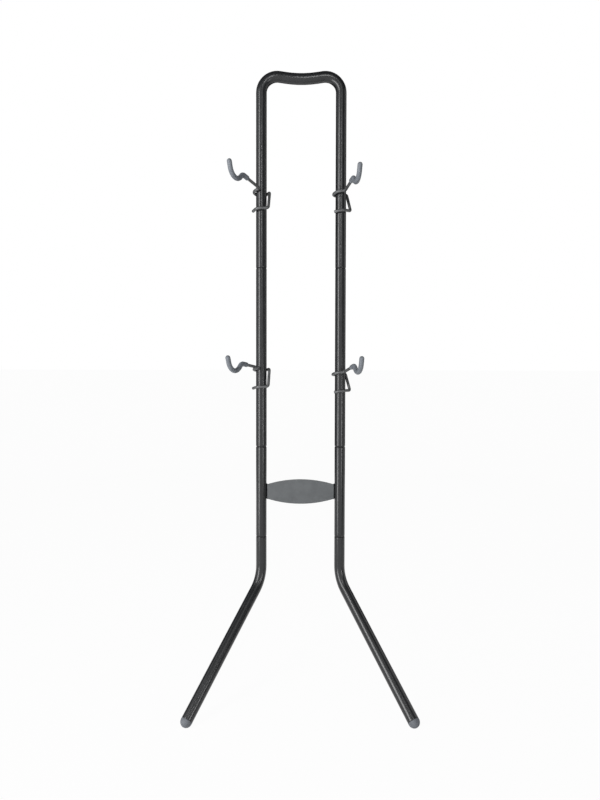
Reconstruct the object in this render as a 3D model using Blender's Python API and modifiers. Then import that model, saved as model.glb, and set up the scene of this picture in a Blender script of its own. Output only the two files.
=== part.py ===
# Gravity bike stand: two uprights that lean on a wall over splayed feet, with four hooks of bent wire.
# Blender 4.5, metres, +Z up, -Y to the front. The origin is on the floor, under the middle of the stand.

import math

import bmesh
import bpy
from mathutils import Matrix, Vector

MM = 0.001
GAP = 0.3 * MM

# The frame. Heights run along the uprights from the corner where a leg bends out of line.
TUBE_RADIUS = 17.5 * MM
TUBE_WALL = 1.5 * MM
HALF_SPACING = 131.0 * MM
LEAN = math.radians(4.0)
LEG_JOINT = 142.4 * MM
MIDDLE_JOINT = 443.1 * MM
TOP_JOINT = 1033.7 * MM
TOP_CREST = 1659.0 * MM
TOP_BEND = 52.0 * MM
TOP_DIP_SLOPE = math.radians(8.5)
TOP_DIP_BEND = 350.0 * MM
SPIGOT_LENGTH = 50.0 * MM
SPIGOT_NECK = 2.4 * MM
SPIGOT_LEAD_IN = 3.0 * MM
SPIGOT_TAPER = 0.8 * MM
SPIGOT_RADIUS = TUBE_RADIUS - TUBE_WALL - GAP

# The legs and their feet
LEG_BEND = 100.0 * MM
LEG_OUT = 198.0 * MM
LEG_FORWARD = 290.0 * MM
LEG_DOWN = 325.0 * MM
FOOT_BAND = 3.0 * MM
FOOT_PATCH = 1.0 * MM
PLUG_LENGTH = 24.0 * MM
PLUG_CHAMFER = 1.5 * MM
PLUG_RIBS = 2
RIB_HEIGHT = 1.0 * MM
RIB_HALF = 0.6 * MM
RIB_RAMP = 0.8 * MM

# The oval plate that ties the uprights, and its screws
PLATE_HEIGHT = 293.0 * MM
PLATE_HALF_TALL = 41.0 * MM
PLATE_HALF_END = 23.5 * MM
PLATE_THICK = 2.0 * MM
PLATE_FACE = 5.0 * MM
PLATE_BEND = 3.5 * MM
SADDLE_CLEARANCE = 0.5 * MM
SADDLE_RADIUS = TUBE_RADIUS + SADDLE_CLEARANCE + PLATE_THICK / 2
SADDLE_START = math.radians(172.0)
SADDLE_PAST_BACK = math.radians(28.0)
SADDLE_LIP = 2.0 * MM
SHEET_MARGIN = 8.0 * MM
SCREW_SPREAD = 13.0 * MM
SCREW_RADIUS = 2.2 * MM
SCREW_LENGTH = 13.0 * MM
SCREW_POINT = 2.0 * MM
SCREW_HEAD_RADIUS = 4.8 * MM
SCREW_HEAD_TALL = 2.8 * MM
SCREW_HEAD_RIM = 1.1 * MM
SCREW_HOLE = SCREW_RADIUS + GAP

# The wire arm, in its own frame: forward along the arm, right of it, and up from its upper wrap.
# Angles round a wrap run from straight ahead towards the left.
WIRE_RADIUS = 4.75 * MM
WRAP_CLEARANCE = 2.0 * MM
WRAP_RADIUS = TUBE_RADIUS + WRAP_CLEARANCE + WIRE_RADIUS
WRAP_TILT = 3.0 * MM
WRAP_TURN = math.radians(211.0)
WRAP_PARTS = 3
WRAP_SPACING = 62.0 * MM
LOWER_IN = math.radians(-32.6)
LOWER_OUT = math.radians(33.6)
RUN_LEAD = 12.0 * MM
LOWER_LEAD = 22.0 * MM
CUT_LENGTH = 13.0 * MM
WIRE_BEND = 8.0 * MM
ARM_ASIDE = 8.5 * MM
ARM_RISE = math.radians(7.0)
BUMP_BEND = 19.0 * MM
CRADLE_FORWARD = 166.0 * MM
CRADLE_UP = 28.5 * MM
CRADLE_RADIUS = 34.0 * MM
CRADLE_IN = math.radians(225.0)
CRADLE_OUT = math.radians(342.0)
TIP_LENGTH = 24.0 * MM
SLEEVE_RADIUS = 7.6 * MM
SLEEVE_START = 101.0 * MM
SLEEVE_LIP = 1.6 * MM
BORE_OVERRUN = 5.0 * MM

# Where each arm rests: which upright, the height of the middle between its wraps, how far it is
# swivelled to the right, and how far its loose wraps let it tip up
ARMS = {
    "upper_left": (-1, 1252.6 * MM, math.radians(-27.2), math.radians(1.1)),
    "upper_right": (1, 1248.8 * MM, math.radians(9.9), math.radians(-2.3)),
    "lower_left": (-1, 669.7 * MM, math.radians(-28.5), math.radians(-0.8)),
    "lower_right": (1, 656.7 * MM, math.radians(12.8), math.radians(2.3)),
}

# Facets: a bevelled curve has 4 sides and 2 more for each step of its resolution. Bends up to the
# tight radius take longer steps.
TUBE_RESOLUTION = 8
WIRE_RESOLUTION = 3
SLEEVE_RESOLUTION = 3
CAP_STEPS = 20
SCREW_STEPS = 14
DOME_RINGS = 6
SLEEVE_RINGS = 4
LIP_RINGS = 2
SCREW_RINGS = 3
LENS_STEPS = 8
TUBE_STEP = math.radians(12.5)
WIRE_STEP = math.radians(17.0)
TIGHT_STEP = math.radians(24.0)
TIGHT_RADIUS = 10.0 * MM
MERGE = 0.001 * MM

# Finishes: sRGB colour, metallic, roughness
FINISHES = {
    "powder_coat": ((0.25, 0.25, 0.26), 0.5, 0.35),
    "bare_wire": ((0.42, 0.43, 0.44), 0.8, 0.35),
    "vinyl": ((0.47, 0.49, 0.52), 0.0, 0.55),
    "rubber": ((0.45, 0.46, 0.49), 0.0, 0.7),
    "plate_paint": ((0.43, 0.44, 0.45), 0.1, 0.5),
    "zinc": ((0.62, 0.62, 0.6), 1.0, 0.35),
}


def clear_scene():
    """Start from an empty scene."""
    for obj in list(bpy.data.objects):
        bpy.data.objects.remove(obj, do_unlink=True)


def new_collection(name):
    """Add a collection to the scene."""
    collection = bpy.data.collections.new(name)
    bpy.context.scene.collection.children.link(collection)
    return collection


def linear(channel):
    """Turn one sRGB channel into the linear value that a shader takes."""
    if channel <= 0.04045:
        return channel / 12.92
    return ((channel + 0.055) / 1.055) ** 2.4


def material_for(node, finish):
    """Give a node its own material in one of the stand's finishes."""
    colour, metallic, roughness = FINISHES[finish]
    material = bpy.data.materials.new(node + "_" + finish)
    material.use_nodes = True
    shader = material.node_tree.nodes["Principled BSDF"]
    shader.inputs["Base Color"].default_value = [linear(channel) for channel in colour] + [1.0]
    shader.inputs["Metallic"].default_value = metallic
    shader.inputs["Roughness"].default_value = roughness
    return material


def add_node(name, mesh, collection, parent, finish, sharp=35.0):
    """Make a named sub-part from a mesh, shaded smooth and hung from its parent."""
    obj = bpy.data.objects.new(name, mesh)
    collection.objects.link(obj)
    obj.parent = parent
    mesh.materials.clear()
    mesh.materials.append(material_for(name, finish))
    mesh.shade_smooth()
    mesh.set_sharp_from_angle(angle=math.radians(sharp))
    return obj


def add_empty(name, collection, parent=None):
    """Add an empty that carries other objects."""
    empty = bpy.data.objects.new(name, None)
    collection.objects.link(empty)
    empty.parent = parent
    empty.empty_display_size = 0.05
    return empty


def add_cutter(name, mesh, collection, parent=None):
    """Keep a cutting shape out of the render and draw it as wire."""
    obj = bpy.data.objects.new(name, mesh)
    collection.objects.link(obj)
    obj.parent = parent
    obj.hide_render = True
    obj.display_type = "WIRE"
    return obj


def cut(obj, cutter, operation="DIFFERENCE"):
    """Cut an object with another by a boolean modifier."""
    modifier = obj.modifiers.new(cutter.name, "BOOLEAN")
    modifier.operation = operation
    modifier.solver = "EXACT"
    modifier.object = cutter


def fillet(before, corner, after, radius, step):
    """Points of the arc that rounds one corner of a route."""
    into = (corner - before).normalized()
    out = (after - corner).normalized()
    turn = into.angle(out)
    start = corner - into * radius * math.tan(turn / 2)
    axis = into.cross(out).normalized()
    centre = start + axis.cross(into) * radius
    count = max(2, math.ceil(turn / step))
    return [
        centre + Matrix.Rotation(turn * index / count, 3, axis) @ (start - centre)
        for index in range(count + 1)
    ]


def rounded(corners, step):
    """A route through its corners, each rounded to its own radius; the two ends have none."""
    points = [corners[0][0]]
    for (before, _), (corner, radius), (after, _) in zip(corners, corners[1:], corners[2:]):
        arc = fillet(before, corner, after, radius, step if radius > TIGHT_RADIUS else TIGHT_STEP)
        # An arc that starts where the last one ends shares its point
        points += arc[1:] if (arc[0] - points[-1]).length < MERGE else arc
    points.append(corners[-1][0])
    return points


def swept_mesh(points, radius, resolution, closed, scales=None):
    """Sweep a circle along a route; scales narrows or widens it point by point."""
    curve = bpy.data.curves.new("sweep", "CURVE")
    curve.dimensions = "3D"
    curve.bevel_depth = radius
    curve.bevel_resolution = resolution
    curve.use_fill_caps = closed
    spline = curve.splines.new("POLY")
    spline.points.add(len(points) - 1)
    for index, point in enumerate(points):
        spline.points[index].co = (*point, 1.0)
        if scales:
            spline.points[index].radius = scales[index]
    obj = bpy.data.objects.new("sweep", curve)
    bpy.context.scene.collection.objects.link(obj)
    depsgraph = bpy.context.evaluated_depsgraph_get()
    mesh = bpy.data.meshes.new_from_object(obj.evaluated_get(depsgraph))
    bpy.data.objects.remove(obj, do_unlink=True)
    bpy.data.curves.remove(curve)
    shape = bmesh.new()
    shape.from_mesh(mesh)
    bmesh.ops.remove_doubles(shape, verts=shape.verts, dist=MERGE)
    bmesh.ops.recalc_face_normals(shape, faces=shape.faces)
    shape.to_mesh(mesh)
    shape.free()
    return mesh


def turned_mesh(profile):
    """A profile of radius and height, listed from top to bottom, for turning about Z."""
    mesh = bpy.data.meshes.new("profile")
    verts = [(radius, 0.0, height) for radius, height in profile]
    mesh.from_pydata(verts, [(index, index + 1) for index in range(len(verts) - 1)], [])
    return mesh


def turn(obj, steps):
    """Turn an object's profile about its own Z axis."""
    screw = obj.modifiers.new("turn", "SCREW")
    screw.axis = "Z"
    screw.steps = steps
    screw.render_steps = steps
    screw.use_merge_vertices = True
    screw.merge_threshold = 0.01 * MM
    screw.use_smooth_shade = True


def wall(obj):
    """Give an open tube its wall, inwards from the outer face."""
    solidify = obj.modifiers.new("wall", "SOLIDIFY")
    solidify.thickness = TUBE_WALL
    solidify.offset = -1.0
    solidify.use_even_offset = True


def spigot(top, direction):
    """The narrowed end that slides into the next tube: its points and scales from the joint on."""
    narrow = SPIGOT_RADIUS / TUBE_RADIUS
    lead_in = (SPIGOT_RADIUS - SPIGOT_TAPER) / TUBE_RADIUS
    points = [
        top - direction * SPIGOT_NECK,
        top,
        top + direction * (SPIGOT_LENGTH - SPIGOT_LEAD_IN),
        top + direction * SPIGOT_LENGTH,
    ]
    return points, [1.0, narrow, narrow, lead_in]


def tube_node(name, points, scales, collection, stand):
    """One hollow tube of the frame along its route."""
    mesh = swept_mesh(points, TUBE_RADIUS, TUBE_RESOLUTION, False, scales)
    obj = add_node(name, mesh, collection, stand, "powder_coat")
    wall(obj)
    return obj


def make_top_tube(collection, stand):
    """The bent tube that joins both uprights at the top, with a shallow dip in its middle."""
    turn_angle = math.pi / 2 + TOP_DIP_SLOPE
    corner_height = TOP_CREST - TOP_BEND + TOP_BEND * math.tan(turn_angle / 2)
    dip_height = corner_height - HALF_SPACING * math.tan(TOP_DIP_SLOPE)
    foot = TOP_JOINT + GAP
    corners = [
        (Vector((-HALF_SPACING, 0, foot)), 0),
        (Vector((-HALF_SPACING, 0, corner_height)), TOP_BEND),
        (Vector((0, 0, dip_height)), TOP_DIP_BEND),
        (Vector((HALF_SPACING, 0, corner_height)), TOP_BEND),
        (Vector((HALF_SPACING, 0, foot)), 0),
    ]
    tube_node("top_tube", rounded(corners, TUBE_STEP), None, collection, stand)


def make_straight_tubes(collection, stand, cutters):
    """The two straight lengths of each upright, each with a spigot at its upper end."""
    lengths = {"upper": (MIDDLE_JOINT, TOP_JOINT), "lower": (LEG_JOINT, MIDDLE_JOINT)}
    up = Vector((0, 0, 1))
    for side, sign in (("left", -1), ("right", 1)):
        for level, (low, high) in lengths.items():
            axis_x = sign * HALF_SPACING
            points, scales = spigot(Vector((axis_x, 0, high)), up)
            points = [Vector((axis_x, 0, low + GAP))] + points
            tube = tube_node(level + "_" + side + "_tube", points, [1.0] + scales, collection, stand)
            if level == "lower":
                for hole in cutters[side]:
                    cut(tube, hole)


def leg_points(sign):
    """The corner of a leg and the centre of its open end."""
    corner = Vector((sign * HALF_SPACING, 0, 0))
    rim = corner + Vector((sign * LEG_OUT, -LEG_FORWARD, -LEG_DOWN))
    return corner, rim


def make_legs(collection, stand):
    """The bent legs, which splay out and forward from the uprights."""
    up = Vector((0, 0, 1))
    for side, sign in (("left", -1), ("right", 1)):
        corner, rim = leg_points(sign)
        top = Vector((corner.x, 0, LEG_JOINT))
        spigot_points, spigot_scales = spigot(top, up)
        bend = fillet(rim, corner, top, LEG_BEND, TUBE_STEP)
        points = [rim] + bend + spigot_points
        scales = [1.0] * (1 + len(bend)) + spigot_scales
        tube_node(side + "_leg", points, scales, collection, stand)


def plug_profile():
    """The foot cap: a ribbed plug inside the leg, a short band and a dome."""
    plug_radius = TUBE_RADIUS - TUBE_WALL - GAP
    core = plug_radius - RIB_HEIGHT
    pitch = PLUG_LENGTH / (PLUG_RIBS + 1)
    profile = [(0.0, PLUG_LENGTH), (core - PLUG_CHAMFER, PLUG_LENGTH), (core, PLUG_LENGTH - PLUG_CHAMFER)]
    for rib in range(PLUG_RIBS):
        height = PLUG_LENGTH - (rib + 1) * pitch
        profile += [(core, height + RIB_HALF + RIB_RAMP), (plug_radius, height + RIB_HALF)]
        profile += [(plug_radius, height - RIB_HALF), (core, height - RIB_HALF)]
    profile += [(core, -GAP), (TUBE_RADIUS, -GAP)]
    for ring in range(DOME_RINGS):
        angle = math.pi / 2 * ring / DOME_RINGS
        profile.append((TUBE_RADIUS * math.cos(angle), -GAP - FOOT_BAND - TUBE_RADIUS * math.sin(angle)))
    profile.append((0.0, -GAP - FOOT_BAND - TUBE_RADIUS))
    return profile


def make_foot_caps(collection, stand, cutters):
    """The rubber caps, each with a small flat where it meets the floor."""
    for side, sign in (("left", -1), ("right", 1)):
        corner, rim = leg_points(sign)
        cap = add_node(side + "_foot_cap", turned_mesh(plug_profile()), collection, stand, "rubber")
        cap.location = rim
        cap.rotation_mode = "QUATERNION"
        cap.rotation_quaternion = (corner - rim).to_track_quat("Z", "Y")
        turn(cap, CAP_STEPS)
        cut(cap, cutters["floor"])


def dome_centre(sign):
    """The centre of a foot's dome, in the uprights' frame."""
    corner, rim = leg_points(sign)
    return rim + (rim - corner).normalized() * (GAP + FOOT_BAND)


def place_stand(stand):
    """Lean the uprights back, and set the feet on the floor with the origin under the middle."""
    stand.rotation_euler.x = -LEAN
    lean = Matrix.Rotation(-LEAN, 3, "X")
    foot = lean @ dome_centre(1)
    crest = lean @ Vector((0, 0, TOP_CREST))
    front = foot.y - TUBE_RADIUS
    back = crest.y + TUBE_RADIUS
    stand.location = (0, -(front + back) / 2, TUBE_RADIUS - FOOT_PATCH - foot.z)


def box_mesh(name, size):
    """A box centred on its own origin."""
    mesh = bpy.data.meshes.new(name)
    shape = bmesh.new()
    bmesh.ops.create_cube(shape, size=1.0)
    bmesh.ops.scale(shape, vec=size, verts=shape.verts)
    shape.to_mesh(mesh)
    shape.free()
    return mesh


def plate_half_route():
    """The plate's middle line seen from above, from its centre to the lip of the right saddle."""
    web = PLATE_THICK / 2 - PLATE_FACE
    axis = Vector((HALF_SPACING, 0, 0))
    start, end = SADDLE_START, math.pi / 2 - SADDLE_PAST_BACK
    middle, half = (start + end) / 2, (start - end) / 2

    def on_saddle(angle, reach=SADDLE_RADIUS):
        return axis + reach * Vector((math.cos(angle), math.sin(angle), 0))

    def along_saddle(angle):
        return Vector((math.sin(angle), -math.cos(angle), 0))

    # The web is bent where its plane meets the line that touches the saddle's start
    back = (on_saddle(start).y - web) / along_saddle(start).y
    return rounded([
        (Vector((0, web, 0)), 0),
        (on_saddle(start) - along_saddle(start) * back, PLATE_BEND),
        (on_saddle(middle, SADDLE_RADIUS / math.cos(half)), SADDLE_RADIUS),
        (on_saddle(end) + along_saddle(end) * SADDLE_LIP, 0),
    ], WIRE_STEP)


def lens_outline():
    """The plate's outline seen from the front: two long arcs, cut off where they meet the tubes."""
    half_long = HALF_SPACING - TUBE_RADIUS
    drop = PLATE_HALF_TALL - PLATE_HALF_END
    radius = (half_long ** 2 + drop ** 2) / (2 * drop)
    reach = math.asin(half_long / radius)
    top = []
    for index in range(-LENS_STEPS, LENS_STEPS + 1):
        angle = reach * index / LENS_STEPS
        top.append((radius * math.sin(angle), PLATE_HALF_TALL - radius * (1 - math.cos(angle))))
    far = HALF_SPACING + 2 * TUBE_RADIUS
    top = [(-far, PLATE_HALF_END)] + top + [(far, PLATE_HALF_END)]
    return top + [(x, -z) for x, z in reversed(top)]


def make_plate(collection, stand, cutters_collection):
    """The oval plate between the uprights, a formed sheet whose ends cup the backs of the tubes."""
    half = plate_half_route()
    route = [Vector((-point.x, point.y, 0)) for point in reversed(half[1:])] + half
    half_sheet = PLATE_HALF_TALL + SHEET_MARGIN
    mesh = bpy.data.meshes.new("plate")
    shape = bmesh.new()
    low = [shape.verts.new((point.x, point.y, -half_sheet)) for point in route]
    edges = [shape.edges.new(pair) for pair in zip(low, low[1:])]
    grown = bmesh.ops.extrude_edge_only(shape, edges=edges)
    upper = [item for item in grown["geom"] if isinstance(item, bmesh.types.BMVert)]
    bmesh.ops.translate(shape, vec=(0, 0, 2 * half_sheet), verts=upper)
    shape.to_mesh(mesh)
    shape.free()
    plate = add_node("spreader_plate", mesh, collection, stand, "plate_paint")
    plate.location = (0, 0, PLATE_HEIGHT)
    solidify = plate.modifiers.new("sheet", "SOLIDIFY")
    solidify.thickness = PLATE_THICK
    solidify.offset = 0.0
    solidify.use_even_offset = True

    outline = bpy.data.curves.new("lens", "CURVE")
    outline.dimensions = "2D"
    outline.fill_mode = "BOTH"
    outline.extrude = 4 * TUBE_RADIUS
    spline = outline.splines.new("POLY")
    corners = lens_outline()
    spline.points.add(len(corners) - 1)
    for index, (x, z) in enumerate(corners):
        spline.points[index].co = (x, z, 0, 1)
    spline.use_cyclic_u = True
    flat = bpy.data.objects.new("lens", outline)
    bpy.context.scene.collection.objects.link(flat)
    depsgraph = bpy.context.evaluated_depsgraph_get()
    lens = bpy.data.meshes.new_from_object(flat.evaluated_get(depsgraph))
    bpy.data.objects.remove(flat, do_unlink=True)
    bpy.data.curves.remove(outline)
    shape = bmesh.new()
    shape.from_mesh(lens)
    bmesh.ops.remove_doubles(shape, verts=shape.verts, dist=MERGE)
    shape.to_mesh(lens)
    shape.free()
    lens_cutter = add_cutter("plate_outline", lens, cutters_collection, stand)
    lens_cutter.location = plate.location
    lens_cutter.rotation_euler.x = math.pi / 2
    cut(plate, lens_cutter, "INTERSECT")
    return plate


def screw_places():
    """Each plate screw's side, level and place on the axis of its tube."""
    places = []
    for side, sign in (("left", -1), ("right", 1)):
        for level, lift in (("top", 1), ("bottom", -1)):
            centre = Vector((sign * HALF_SPACING, 0, PLATE_HEIGHT + lift * SCREW_SPREAD))
            places.append((side, level, centre))
    return places


def screw_profile():
    """A pan-head screw, head up, with its bearing face at height zero."""
    crown = SCREW_HEAD_TALL - SCREW_HEAD_RIM
    profile = []
    for ring in range(SCREW_RINGS + 1):
        angle = math.pi / 2 * ring / SCREW_RINGS
        profile.append((
            SCREW_HEAD_RADIUS * math.sin(angle), SCREW_HEAD_RIM + crown * math.cos(angle)))
    profile += [(SCREW_HEAD_RADIUS, 0.0), (SCREW_RADIUS, 0.0)]
    profile += [(SCREW_RADIUS, SCREW_POINT - SCREW_LENGTH), (0.0, -SCREW_LENGTH)]
    return profile


def make_screws(collection, stand):
    """The screws that hold the plate's saddles to the backs of the tubes."""
    seat = SADDLE_RADIUS + PLATE_THICK / 2 + GAP
    for side, level, centre in screw_places():
        name = "plate_screw_" + side + "_" + level
        screw = add_node(name, turned_mesh(screw_profile()), collection, stand, "zinc")
        screw.location = centre + Vector((0, seat, 0))
        screw.rotation_euler.x = -math.pi / 2
        turn(screw, SCREW_STEPS)


def make_hole_cutters(collection, stand):
    """Cutters for the screw holes, by side."""
    holes = {"left": [], "right": []}
    for side, level, centre in screw_places():
        mesh = bpy.data.meshes.new("screw_hole")
        shape = bmesh.new()
        bmesh.ops.create_cone(
            shape, cap_ends=True, segments=SCREW_STEPS, radius1=SCREW_HOLE, radius2=SCREW_HOLE,
            depth=TUBE_RADIUS)
        shape.to_mesh(mesh)
        shape.free()
        hole = add_cutter("screw_hole_" + side + "_" + level, mesh, collection, stand)
        hole.location = centre + Vector((0, TUBE_RADIUS, 0))
        hole.rotation_euler.x = -math.pi / 2
        holes[side].append(hole)
    return holes


def arm_frame(forward, right, up):
    """A point of the arm's own frame, where forward is -Y and right is +X."""
    return Vector((right, -forward, up))


def wrap_axes():
    """The directions ahead and left in the plane of a wrap, which falls away to the left and the back."""
    level = arm_frame(-WRAP_TILT, -WRAP_TILT, WRAP_RADIUS).normalized()
    ahead = arm_frame(0, 1, 0).cross(level).normalized()
    return ahead, ahead.cross(level)


def on_wrap(angle, reach=WRAP_RADIUS):
    """A point of the upper wrap by its angle."""
    ahead, left = wrap_axes()
    return (ahead * math.cos(angle) + left * math.sin(angle)) * reach


def along_wrap(angle):
    """The direction in which a wrap runs at an angle."""
    ahead, left = wrap_axes()
    return left * math.cos(angle) - ahead * math.sin(angle)


def wrap_corner(start, end):
    """Where the wire's straight lines would meet, were it not bent round from one angle to another."""
    return on_wrap((start + end) / 2, WRAP_RADIUS / math.cos((end - start) / 2))


def in_cradle(angle, reach=CRADLE_RADIUS):
    """A point by its angle and reach about the cradle's centre, in the plane of the arm."""
    return arm_frame(
        CRADLE_FORWARD + reach * math.cos(angle), ARM_ASIDE, CRADLE_UP + reach * math.sin(angle))


def hook_corners():
    """The hook from its tip to the root of the arm, as corners and their radii."""
    middle, half = (CRADLE_IN + CRADLE_OUT) / 2, (CRADLE_OUT - CRADLE_IN) / 2
    rise = arm_frame(-math.sin(CRADLE_OUT), 0, math.cos(CRADLE_OUT))
    inner = in_cradle(CRADLE_IN)
    root = on_wrap(0) - along_wrap(0) * ARM_ASIDE
    # The bump's corner is where the cradle's inner side, run on straight, meets the rising arm
    side_slope = -1 / math.tan(CRADLE_IN)
    arm_slope = math.tan(ARM_RISE)
    forward = (inner.z - root.z + side_slope * inner.y - arm_slope * root.y) / (arm_slope - side_slope)
    return [
        (in_cradle(CRADLE_OUT) + rise * TIP_LENGTH, 0),
        (in_cradle(middle, CRADLE_RADIUS / math.cos(half)), CRADLE_RADIUS),
        (arm_frame(forward, ARM_ASIDE, root.z + arm_slope * (forward + root.y)), BUMP_BEND),
        (root, WIRE_BEND),
    ]


def arm_points():
    """The wire's middle line, from where it ends inside the sleeve's tip to its cut end."""
    (tip, _), *hook = hook_corners()
    down = (hook[0][0] - tip).normalized()
    part = WRAP_TURN / WRAP_PARTS
    upper = [
        (wrap_corner(part * index, part * (index + 1)), WRAP_RADIUS) for index in range(WRAP_PARTS)
    ]
    drop = arm_frame(0, 0, -WRAP_SPACING)
    return rounded([
        (tip + down * SLEEVE_RADIUS, 0),
        *hook,
        *upper,
        (on_wrap(WRAP_TURN) + along_wrap(WRAP_TURN) * RUN_LEAD, WIRE_BEND),
        (on_wrap(LOWER_IN) - along_wrap(LOWER_IN) * LOWER_LEAD + drop, WIRE_BEND),
        (wrap_corner(LOWER_IN, LOWER_OUT) + drop, WRAP_RADIUS),
        (on_wrap(LOWER_OUT) + along_wrap(LOWER_OUT) * CUT_LENGTH + drop, 0),
    ], WIRE_STEP)


def sleeve_route():
    """The sleeve's ends and bends: its tip, its bends' points, where it stops, and its end directions."""
    tip, bottom, bump, root = hook_corners()
    rise = (tip[0] - bottom[0]).normalized()
    along = (bump[0] - root[0]).normalized()
    stop = root[0] + along * (SLEEVE_START - WRAP_RADIUS) / math.cos(ARM_RISE)
    bends = rounded([tip, bottom, bump, (stop, 0)], WIRE_STEP)[1:-1]
    return tip[0], rise, bends, stop, along


def sleeve_mesh():
    """The outer form of the sleeve, with a round tip and a rounded lip."""
    tip, rise, bends, stop, along = sleeve_route()
    points = []
    scales = []
    for ring in range(SLEEVE_RINGS):
        angle = math.pi / 2 * (1 - (ring + 0.5) / SLEEVE_RINGS)
        points.append(tip - rise * SLEEVE_RADIUS * (1 - math.sin(angle)))
        scales.append(math.cos(angle))
    points += [tip - rise * SLEEVE_RADIUS] + bends
    scales += [1.0] * (1 + len(bends))
    for ring in range(LIP_RINGS + 1):
        angle = math.pi / 2 * ring / LIP_RINGS
        points.append(stop + along * SLEEVE_LIP * (1 - math.sin(angle)))
        scales.append(1 - SLEEVE_LIP * (1 - math.cos(angle)) / SLEEVE_RADIUS)
    return swept_mesh(points, SLEEVE_RADIUS, SLEEVE_RESOLUTION, True, scales)


def sleeve_bore_mesh():
    """The bore that the wire fills, open at the arm's end."""
    tip, rise, bends, stop, along = sleeve_route()
    points = [tip - rise * (SLEEVE_RADIUS - GAP)] + bends + [stop - along * BORE_OVERRUN]
    bore = (WIRE_RADIUS + GAP) / math.cos(math.pi / (4 + 2 * SLEEVE_RESOLUTION))
    return swept_mesh(points, bore, SLEEVE_RESOLUTION, True)


def make_arms(collection, stand, cutters_collection):
    """The four wire arms and their sleeves, each on an empty midway between its wraps."""
    for place, (sign, height, swivel, tip_up) in ARMS.items():
        carrier = add_empty(place + "_carrier", collection, stand)
        carrier.location = (sign * HALF_SPACING, 0, height)
        carrier.rotation_euler = (-tip_up, 0, swivel)
        wire = swept_mesh(arm_points(), WIRE_RADIUS, WIRE_RESOLUTION, True)
        arm = add_node(place + "_arm", wire, collection, carrier, "bare_wire")
        sleeve = add_node(place + "_sleeve", sleeve_mesh(), collection, carrier, "vinyl")
        bore = add_cutter(place + "_sleeve_bore", sleeve_bore_mesh(), cutters_collection, carrier)
        for piece in (arm, sleeve, bore):
            piece.location.z = WRAP_SPACING / 2
        cut(sleeve, bore)


def main():
    """Build the stand."""
    clear_scene()
    parts = new_collection("gravity_bike_stand")
    cutters = new_collection("cutters")
    stand = add_empty("stand", parts)
    place_stand(stand)
    holes = make_hole_cutters(cutters, stand)
    floor = add_cutter("floor", box_mesh("floor", (1.0, 1.0, 0.1)), cutters)
    floor.location = (0, 0, -0.05)
    holes["floor"] = floor
    make_top_tube(parts, stand)
    make_straight_tubes(parts, stand, holes)
    make_legs(parts, stand)
    make_foot_caps(parts, stand, holes)
    plate = make_plate(parts, stand, cutters)
    for side in ("left", "right"):
        for hole in holes[side]:
            cut(plate, hole)
    make_screws(parts, stand)
    make_arms(parts, stand, cutters)


main()
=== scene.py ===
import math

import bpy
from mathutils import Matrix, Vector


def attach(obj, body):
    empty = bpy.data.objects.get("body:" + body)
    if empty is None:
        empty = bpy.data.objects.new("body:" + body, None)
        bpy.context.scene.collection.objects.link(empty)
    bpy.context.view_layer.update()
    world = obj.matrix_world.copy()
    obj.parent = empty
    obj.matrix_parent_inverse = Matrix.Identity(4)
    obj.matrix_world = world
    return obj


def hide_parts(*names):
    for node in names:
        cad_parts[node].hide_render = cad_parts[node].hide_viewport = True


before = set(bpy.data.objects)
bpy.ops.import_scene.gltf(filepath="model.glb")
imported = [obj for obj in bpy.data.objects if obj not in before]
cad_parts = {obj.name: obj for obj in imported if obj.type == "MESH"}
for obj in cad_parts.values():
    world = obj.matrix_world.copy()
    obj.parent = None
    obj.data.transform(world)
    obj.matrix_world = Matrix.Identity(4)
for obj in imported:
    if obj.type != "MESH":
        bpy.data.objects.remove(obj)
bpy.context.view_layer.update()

# Gravity bike stand, as it looks: bent steel tube in charcoal powder coat, a satin oval tie plate,
# four hooks of bent wire with soft sleeves, and moulded rubber feet. Metres, +Z up, and -Y to the
# front. Frame pieces are modelled in the uprights' own frame, and then leaned back for the wall.

MM = 0.001
GAP = 0.3 * MM

# The frame. Heights run along the uprights from the corner where a leg bends out of line.
TUBE_RADIUS = 17.5 * MM
TUBE_WALL = 1.5 * MM
TUBE_EDGE = 0.5 * MM
HALF_SPACING = 131.0 * MM
LEAN = math.radians(4.0)
LEG_JOINT = 142.4 * MM
MIDDLE_JOINT = 443.1 * MM
TOP_JOINT = 1033.7 * MM
TOP_CREST = 1659.0 * MM
TOP_BEND = 52.0 * MM
TOP_DIP_SLOPE = math.radians(8.5)
TOP_DIP_BEND = 350.0 * MM
SPIGOT_LENGTH = 50.0 * MM
SPIGOT_LEAD_IN = 3.0 * MM
SPIGOT_TAPER = 0.8 * MM

# Where two tubes meet, the upper one's mouth is rolled in, and the lower one has a round shoulder
MOUTH_BACK = 4.5 * MM
MOUTH_DEEP = 2.0 * MM
SHOULDER_BACK = 3.0 * MM
SHOULDER_DEEP = 2.5 * MM
SPIGOT_RADIUS = TUBE_RADIUS - SHOULDER_DEEP

# The legs and their feet
LEG_BEND = 100.0 * MM
LEG_OUT = 198.0 * MM
LEG_FORWARD = 290.0 * MM
LEG_DOWN = 325.0 * MM
FOOT_BAND = 3.0 * MM
FOOT_PATCH = 1.0 * MM
PLUG_LENGTH = 24.0 * MM
PLUG_CHAMFER = 1.5 * MM
PLUG_RIBS = 2
RIB_HEIGHT = 1.0 * MM
RIB_HALF = 0.6 * MM
RIB_RAMP = 0.8 * MM
TREAD_EDGE = 0.35 * MM

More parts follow.
